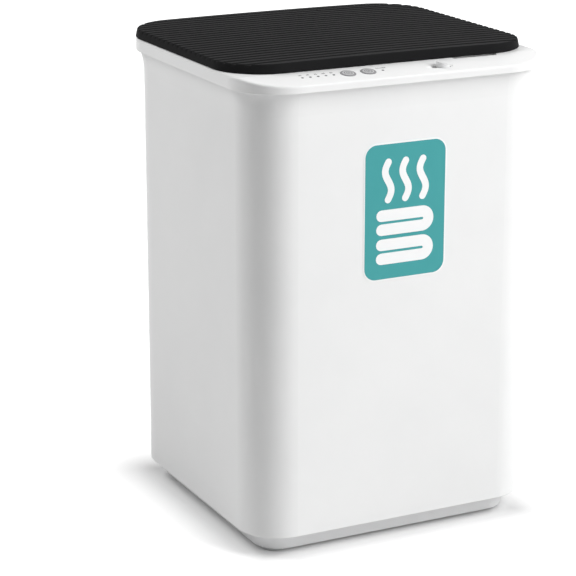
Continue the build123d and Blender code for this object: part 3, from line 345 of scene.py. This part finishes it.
def plainMesh(source, place=Matrix.Identity(4)):  # what the modifiers or the curve give, moved to its place
    scene = bpy.context.evaluated_depsgraph_get()
    mesh = bpy.data.meshes.new_from_object(source.evaluated_get(scene), depsgraph=scene)
    mesh.transform(place)
    bpy.data.objects.remove(source)
    return mesh


def joined(meshes):
    whole = bmesh.new()
    for mesh in meshes:
        whole.from_mesh(mesh)
        bpy.data.meshes.remove(mesh)
    made = bpy.data.meshes.new("joined")
    whole.to_mesh(made)
    whole.free()
    return made


def welded(mesh):  # a plate's faces and edges come apart from a curve
    shape = bmesh.new()
    shape.from_mesh(mesh)
    bmesh.ops.remove_doubles(shape, verts=shape.verts, dist=0.0000001)
    shape.to_mesh(mesh)
    shape.free()
    mesh.shade_flat()
    return mesh


def flatPlate(outlines, thickness, place):  # outlines are closed loops of flat points; inner ones are holes
    curve = bpy.data.curves.new("outline", "CURVE")
    curve.dimensions = "2D"
    curve.fill_mode = "BOTH"
    curve.extrude = thickness / 2
    for outline in outlines:
        spline = curve.splines.new("POLY")
        spline.points.add(len(outline) - 1)
        for point, (x, y) in zip(spline.points, outline):
            point.co = (x, y, 0, 1)
        spline.use_cyclic_u = True
    source = bpy.data.objects.new("outline", curve)
    bpy.context.scene.collection.objects.link(source)
    return welded(plainMesh(source, place))


def flatText(words, size, thickness, place):
    text = bpy.data.curves.new("words", "FONT")
    text.body = words
    text.size = size
    text.align_x = "CENTER"
    text.align_y = "CENTER"
    text.extrude = thickness / 2
    source = bpy.data.objects.new("words", text)
    bpy.context.scene.collection.objects.link(source)
    return welded(plainMesh(source, place))


def roundLoop(radius, count=48):
    turns = [i * math.tau / count for i in range(count)]
    return [(radius * math.cos(a), radius * math.sin(a)) for a in turns]


def roundedRect(width, depth, corner, steps=10):
    loop = []
    for cx, cy, start in ((1, -1, -90), (1, 1, 0), (-1, 1, 90), (-1, -1, 180)):
        for i in range(steps + 1):
            angle = math.radians(start + 90 * i / steps)
            x = cx * (width / 2 - corner) + corner * math.cos(angle)
            y = cy * (depth / 2 - corner) + corner * math.sin(angle)
            loop.append((x, y))
    return loop


def strokeLoop(path, width, caps=8):  # outline of a stroke of even width with round ends
    left, right = [], []
    for i, (x, y) in enumerate(path):
        ax, ay = path[max(i - 1, 0)]
        bx, by = path[min(i + 1, len(path) - 1)]
        long = math.hypot(bx - ax, by - ay)
        nx, ny = -(by - ay) / long * width / 2, (bx - ax) / long * width / 2
        left.append((x + nx, y + ny))
        right.append((x - nx, y - ny))

    def cap(centre, start):
        first = math.atan2(start[1] - centre[1], start[0] - centre[0])
        turns = [first - math.pi * i / caps for i in range(1, caps)]
        return [(centre[0] + width / 2 * math.cos(a), centre[1] + width / 2 * math.sin(a)) for a in turns]

    return left + cap(path[-1], left[-1]) + right[::-1] + cap(path[0], right[0])


# lid with ribs

lidShape = {
    "width": 0.3146, "depth": 0.2638, "corner": 0.0484, "front": -0.1155,
    "low": 0.4538, "high": 0.4618, "draft": 0.0015, "round": 0.0012, "wall": 0.0024,
    "ceiling": 0.4590, "crown": 0.0013, "grooves": 24, "ribPitch": 0.01035, "grooveDepth": 0.0010,
    "mouth": 0.0052, "grooveFloor": 0.0024,
    "hingeY": 0.1453, "nose": 0.003, "hingeSpan": 0.170, "hingeZ": 0.4578,
    "slot": (0.0152, 0.0035), "block": (0.040, 0.008),
    "bore": (0.00154, 0.0326),  # radius and length of the hinge pin's hole
    "lowEdge": 0.00035,  # chamfer at the foot of the side
    "blockBite": (0.0003, 0.0005),  # hinge block above the lid's foot and into its ceiling
    "slotPast": (0.001, 0.004),  # slot below the lid and behind it
    "cornerRows": 22, "sideColumns": 44, "wallRows": 5, "rowGap": 0.00012,  # how finely the blank is divided
    "edgeTurns": (18, 36, 54, 72, 90), "sideShares": (0.25, 0.4, 0.55, 0.7, 0.82, 0.9, 0.95),
    "ribFade": (0.7, 1.6),  # ribs reach down the side and run out
    "smoothTo": 38,  # degrees, beyond which an edge stays sharp
}


def lidRows(shape):  # ribs need even rows, the corners need rows by angle
    inset = shape["draft"] + shape["round"]
    front = shape["front"] + inset
    rear = shape["front"] + shape["depth"] - inset
    corner = shape["corner"] - inset
    rows = {front, rear}
    for i in range(1, shape["cornerRows"] + 1):
        reach = corner * (1 - math.cos(math.radians(90 * i / shape["cornerRows"])))
        rows.update((front + reach, rear - reach))
    middle = (front + rear) / 2
    floor, mouth, pitch = shape["grooveFloor"] / 2, shape["mouth"] / 2, shape["ribPitch"]
    count = shape["wallRows"]
    steps = [0, floor * 0.6] + [floor + (mouth - floor) * i / count for i in range(count + 1)]
    steps.append((mouth + pitch / 2) / 2)
    offsets = sorted({side * step for side in (-1, 1) for step in steps} | {-pitch / 2})
    for i in range(shape["grooves"]):
        centre = middle + (i - (shape["grooves"] - 1) / 2) * pitch
        for offset in offsets:
            if min(abs(centre + offset - other) for other in rows) > shape["rowGap"]:
                rows.add(centre + offset)
    return sorted(rows), front, rear, corner


# smooth block with rows for the ribs; its attribute says how far each point follows them
def lidBlank(shape):
    rows, front, rear, corner = lidRows(shape)
    halfWidth = shape["width"] / 2 - shape["draft"] - shape["round"]
    across = shape["sideColumns"]
    points, lift, faces = [], [], []

    def add(x, y, z, share):
        points.append((x, y, z))
        lift.append(share)
        return len(points) - 1

    grid = []
    for y in rows:
        into = max(front + corner - y, y - (rear - corner), 0)
        half = halfWidth - corner + math.sqrt(max(corner**2 - into**2, 0))
        places = [-half * math.cos(math.pi * i / across) for i in range(across + 1)]
        grid.append([add(x, y, shape["high"], 1.0) for x in places])
    for low, up in zip(grid, grid[1:]):
        faces += [(low[i], low[i + 1], up[i + 1], up[i]) for i in range(across)]
    loop = grid[0] + [row[-1] for row in grid[1:-1]] + grid[-1][::-1] + [row[0] for row in grid[-2:0:-1]]

    def outward(x, y):
        cx = max(-halfWidth + corner, min(halfWidth - corner, x))
        cy = max(front + corner, min(rear - corner, y))
        long = math.hypot(x - cx, y - cy)
        return (x - cx) / long, (y - cy) / long

    steps = []  # each ring's reach outward, its rise and how far it follows the ribs
    for turn in shape["edgeTurns"]:
        angle = math.radians(turn)
        steps.append((shape["round"] * math.sin(angle), -shape["round"] * (1 - math.cos(angle)), 1.0))
    drop = shape["high"] - shape["low"]
    start, fall = shape["ribFade"]
    for share in shape["sideShares"]:
        out = shape["round"] + shape["draft"] * share
        steps.append((out, -drop * share, max(0.0, start - share * fall)))
    steps.append((shape["round"] + shape["draft"] - shape["lowEdge"], -drop, 0.0))
    steps.append((shape["round"] - shape["wall"], -drop, 0.0))
    steps.append((shape["round"] - shape["wall"], shape["ceiling"] - shape["high"], 0.0))
    last = loop
    noseZ = shape["low"] + shape["nose"]
    for out, down, share in steps:
        ring = []
        for index in loop:
            x, y, z = points[index]
            nx, ny = outward(x, y)
            px, py, pz = x + nx * out, y + ny * out, z + down
            past, under = py - shape["hingeY"], pz - noseZ
            if past > 0 and under < 0 and math.hypot(past, under) > shape["nose"]:  # rounded rear edge
                scale = shape["nose"] / math.hypot(past, under)
                py, pz = shape["hingeY"] + past * scale, noseZ + under * scale
            ring.append(add(px, py, pz, share))
        for i in range(len(loop)):
            j = (i + 1) % len(loop)
            faces.append((last[j], last[i], ring[i], ring[j]))
        last = ring
    faces.append(tuple(last[::-1]))
    mesh = bpy.data.meshes.new("lidBlank")
    mesh.from_pydata(points, [], faces)
    follow = mesh.attributes.new("followRibs", "FLOAT", "POINT")
    follow.data.foreach_set("value", lift)
    return mesh


def ribTree(material, values):  # crowns the blank and presses the grooves into it
    tree = bpy.data.node_groups.new("lidRibs", "GeometryNodeTree")
    face = tree.interface
    face.new_socket("Geometry", in_out="INPUT", socket_type="NodeSocketGeometry")
    for name in values:
        face.new_socket(name, in_out="INPUT", socket_type="NodeSocketFloat")
    face.new_socket("Geometry", in_out="OUTPUT", socket_type="NodeSocketGeometry")
    start = tree.nodes.new("NodeGroupInput")
    end = tree.nodes.new("NodeGroupOutput")
    link = tree.links.new

    def maths(operation, first, second=None):
        node = tree.nodes.new("ShaderNodeMath")
        node.operation = operation
        for socket, value in zip(node.inputs, (first, second)):
            if value is None:
                continue
            if isinstance(value, (int, float)):
                socket.default_value = value
            else:
                link(value, socket)
        return node.outputs[0]

    where = tree.nodes.new("GeometryNodeInputPosition")
    parts = tree.nodes.new("ShaderNodeSeparateXYZ")
    link(where.outputs[0], parts.inputs[0])
    follow = tree.nodes.new("GeometryNodeInputNamedAttribute")
    follow.data_type = "FLOAT"
    follow.inputs["Name"].default_value = "followRibs"
    away = maths("SUBTRACT", parts.outputs["Y"], start.outputs["Middle"])
    halfPitch = maths("MULTIPLY", start.outputs["Rib Pitch"], 0.5)
    fromRib = maths("PINGPONG", away, halfPitch)  # even count: a rib lies in the middle
    wall = tree.nodes.new("ShaderNodeMapRange")
    wall.interpolation_type = "SMOOTHSTEP"
    link(maths("SUBTRACT", halfPitch, fromRib), wall.inputs["Value"])
    link(maths("MULTIPLY", start.outputs["Mouth"], 0.5), wall.inputs["From Min"])
    link(maths("MULTIPLY", start.outputs["Groove Floor"], 0.5), wall.inputs["From Max"])
    halfLength = maths("MULTIPLY", start.outputs["Ribbed Length"], 0.5)
    ribbed = maths("LESS_THAN", maths("ABSOLUTE", away), halfLength)
    pressed = maths("MULTIPLY", wall.outputs["Result"], ribbed)
    groove = maths("MULTIPLY", pressed, start.outputs["Groove Depth"])
    side = maths("DIVIDE", parts.outputs["X"], start.outputs["Half Width"])
    bow = maths("SUBTRACT", 1.0, maths("MULTIPLY", side, side))
    rise = maths("MULTIPLY", bow, start.outputs["Crown"])
    lift = maths("MULTIPLY", maths("SUBTRACT", rise, groove), follow.outputs["Attribute"])
    move = tree.nodes.new("ShaderNodeCombineXYZ")
    link(lift, move.inputs["Z"])
    place = tree.nodes.new("GeometryNodeSetPosition")
    link(start.outputs["Geometry"], place.inputs["Geometry"])
    link(move.outputs[0], place.inputs["Offset"])
    whole = tree.nodes.new("GeometryNodeRealizeInstances")
    link(place.outputs[0], whole.inputs[0])
    paint = tree.nodes.new("GeometryNodeSetMaterial")
    paint.inputs["Material"].default_value = material
    link(whole.outputs[0], paint.inputs["Geometry"])
    link(paint.outputs[0], end.inputs["Geometry"])
    return tree


def boxMesh(low, high):
    mesh = bpy.data.meshes.new("box")
    shape = bmesh.new()
    bmesh.ops.create_cube(shape, size=1.0)
    middle = [(a + b) / 2 for a, b in zip(low, high)]
    size = [b - a for a, b in zip(low, high)]
    shape.transform(Matrix.Translation(middle) @ Matrix.Diagonal((*size, 1)))
    shape.to_mesh(mesh)
    shape.free()
    return mesh


def cutWith(piece, tool, operation):
    cut = piece.modifiers.new("cut", "BOOLEAN")
    cut.operation = operation
    cut.solver = "EXACT"
    cut.object = tool


def ribbedShell(shape):
    blank = bpy.data.objects.new("lidBlank", lidBlank(shape))
    bpy.context.scene.collection.objects.link(blank)
    values = {
        "Rib Pitch": shape["ribPitch"],
        "Groove Depth": shape["grooveDepth"],
        "Mouth": shape["mouth"],
        "Groove Floor": shape["grooveFloor"],
        "Middle": shape["front"] + shape["depth"] / 2,
        "Ribbed Length": shape["grooves"] * shape["ribPitch"],
        "Crown": shape["crown"],
        "Half Width": shape["width"] / 2,
    }
    tree = ribTree(finish["lidCharcoal"], values)
    ribs = blank.modifiers.new("ribs", "NODES")
    ribs.node_group = tree
    for socket in tree.interface.items_tree:
        if socket.in_out == "INPUT" and socket.name in values:
            ribs[socket.identifier] = values[socket.name]
    shell = bpy.data.objects.new("lidShell", plainMesh(blank))
    bpy.context.scene.collection.objects.link(shell)
    return shell


def hingeTools(shape):  # what each boolean step adds to the lid or takes from it
    blocks, slots, bores = [], [], []
    low, ceiling = shape["low"], shape["ceiling"]
    y, z = shape["hingeY"], shape["hingeZ"]
    half, reach = shape["slot"][0] / 2, shape["slot"][1]
    wide, deep = shape["block"][0] / 2, shape["block"][1]
    rear = shape["front"] + shape["depth"] - shape["wall"]
    radius, length = shape["bore"]
    under, over = shape["blockBite"]
    below, behind = shape["slotPast"]
    along = Matrix.Rotation(math.radians(90), 4, "Y")
    for side in (-1, 1):
        x = side * shape["hingeSpan"] / 2
        blocks.append(boxMesh((x - wide, y - deep, low + under), (x + wide, rear, ceiling + over)))
        slots.append(boxMesh((x - half, y - reach, low - below), (x + half, rear + behind, z + reach)))
        place = Matrix.Translation((x, y, z)) @ along
        bores.append(flatPlate([roundLoop(radius)], length, place))
    return {
        "hingeBlocks": (blocks, "UNION"),
        "hingeSlots": (slots, "DIFFERENCE"),
        "hingeBores": (bores, "DIFFERENCE"),
    }


def makeLid(shape):
    shell = ribbedShell(shape)
    tools = hingeTools(shape)
    for name, (meshes, operation) in tools.items():
        tool = bpy.data.objects.new(name, joined(meshes))
        bpy.context.scene.collection.objects.link(tool)
        cutWith(shell, tool, operation)
    mesh = plainMesh(shell)
    for name in tools:
        bpy.data.objects.remove(bpy.data.objects[name])
    mesh.shade_smooth()
    mesh.set_sharp_from_angle(angle=math.radians(shape["smoothTo"]))
    lid = linkPiece("lidCover", mesh, "lidCharcoal")
    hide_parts("lid_cover")
    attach(lid, "lid")


makeLid(lidShape)
print("lid made")

# marks on the sloping deck and the buttons

deck = {
    "back": -0.1155, "top": 0.4535, "slope": math.radians(9),
    "line": -0.1298, "labelLine": -0.1241, "labelSize": 0.0032, "ink": 0.00006,
    "lights": (-0.0982, -0.0904, -0.0826, -0.0748, -0.0670),
    "labels": ("20", "30", "40", "50", "60"),
    "switchLabel": ("ON/OFF", -0.0166, 0.00288),  # its words, place and size
    "mark": (0.0490, -0.1368, 0.00048, 0.0009),  # painted shade: dark oval at the right end of the knob's groove, its place and half sizes
    "buttons": {"timer": -0.0526, "power": -0.0322}, "cap": 0.0006,
    "ring": (0.0052, 0.0043),  # outer and inner radius of the ring on each button
    "dial": (0.0029, 0.0022), "hands": ((0, 0.0016), (0.0012, -0.0005)), "handWidth": 0.0006,
    "arc": 0.0024, "gap": 76, "stroke": (0.0010, 0.0029), "strokeWidth": 0.0007,  # switch sign
}


def onDeck(x, y, up=0.0):  # place on the deck, its own x across, y up the slope and z out of it
    slope = deck["slope"]
    along = (y - deck["back"]) / math.cos(slope)
    start = Matrix.Translation((0, deck["back"], deck["top"])) @ Matrix.Rotation(slope, 4, "X")
    return start @ Matrix.Translation((x, along, up))


def makeDeckMarks(deck):
    ink, line = deck["ink"], deck["labelLine"]
    words = [(word, x, deck["labelSize"]) for word, x in zip(deck["labels"], deck["lights"])]
    words.append(deck["switchLabel"])
    marks = [flatText(word, size, ink, onDeck(x, line, ink / 2)) for word, x, size in words]
    # painted shade: a dark oval where the knob's groove ends in shade
    x, y, wide, long = deck["mark"]
    oval = [(wide * a, long * b) for a, b in roundLoop(1.0, 20)]
    marks.append(flatPlate([oval], ink, onDeck(x, y, ink / 2)))
    piece = linkPiece("deckMarks", joined(marks), "printAndShadeGrey")
    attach(piece, "housing")


def buttonIcon(kind):  # outlines of each flat part of the sign
    if kind == "timer":
        outer, inner = deck["dial"]
        hands = [[strokeLoop([(0, 0), tip], deck["handWidth"])] for tip in deck["hands"]]
        return [[roundLoop(outer), roundLoop(inner)[::-1]]] + hands
    first, count = 90 + deck["gap"] / 2, 30
    turns = [math.radians(first + (360 - deck["gap"]) * i / count) for i in range(count + 1)]
    arc = [(deck["arc"] * math.cos(a), deck["arc"] * math.sin(a)) for a in turns]
    stroke = [(0, y) for y in deck["stroke"]]
    return [[strokeLoop(path, deck["strokeWidth"])] for path in (arc, stroke)]


def makeButtonMarks(deck):
    ink = deck["ink"]
    outer, inner = deck["ring"]
    for kind, x in deck["buttons"].items():
        place = onDeck(x, deck["line"], deck["cap"] + ink / 2)
        outlines = buttonIcon(kind) + [[roundLoop(outer, 64), roundLoop(inner, 64)[::-1]]]
        plates = [flatPlate(loops, ink, place) for loops in outlines]
        piece = linkPiece(kind + "Mark", joined(plates), "iconGrey")
        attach(piece, kind + "_button")


makeDeckMarks(deck)
makeButtonMarks(deck)
print("deck marks made")

# teal badge on the front with a plain picture of warmth over two folded towels

badge = {
    "width": 0.0834, "height": 0.1265, "corner": 0.0115, "border": 0.0013,
    "centre": (0.0010, 0.3225), "front": -0.1415, "thickness": 0.0003, "ink": 0.0001,
    "stroke": 0.0108, "fold": 0.0066, "towel": (-0.0245, 0.0180), "towelRows": (-0.0440, -0.0165),
    "waves": (-0.0180, 0.0, 0.0180), "waveLow": 0.0115, "waveHigh": 0.0465,
    "waveStroke": 0.0068, "waveReach": 0.0032,
}


def onFront(x, z, out):
    upright = Matrix.Rotation(math.radians(90), 4, "X")
    return Matrix.Translation((x, badge["front"] - out, z)) @ upright


def foldedTowel(low):
    left, right = badge["towel"]
    fold, steps = badge["fold"], 16
    turns = [math.radians(90 - 180 * i / steps) for i in range(steps + 1)]
    turn = [(right + fold * math.cos(a), low + fold + fold * math.sin(a)) for a in turns]
    return [(left, low + 2 * fold)] + turn + [(left, low)]


def heatWave(x):
    low, high, reach, steps = badge["waveLow"], badge["waveHigh"], badge["waveReach"], 24
    shares = [i / steps for i in range(steps + 1)]
    return [(x + reach * math.sin(math.tau * share), low + (high - low) * share) for share in shares]


def makeBadge(badge):
    x, z = badge["centre"]
    width, height, corner, border = (badge[name] for name in ("width", "height", "corner", "border"))
    thick, ink = badge["thickness"], badge["ink"]
    edge = roundedRect(width + 2 * border, height + 2 * border, corner + border)
    whites = [flatPlate([edge], thick, onFront(x, z, thick / 2))]
    teal = flatPlate([roundedRect(width, height, corner)], ink, onFront(x, z, thick + ink / 2))
    plate = linkPiece("badgePlate", teal, "badgeTeal")
    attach(plate, "housing")
    place = onFront(x, z, thick + 1.5 * ink)
    loops = [strokeLoop(foldedTowel(row), badge["stroke"]) for row in badge["towelRows"]]
    loops += [strokeLoop(heatWave(middle), badge["waveStroke"]) for middle in badge["waves"]]
    whites += [flatPlate([loop], ink, place) for loop in loops]
    picture = linkPiece("badgePicture", joined(whites), "badgeWhite")
    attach(picture, "housing")


makeBadge(badge)
print("badge made")
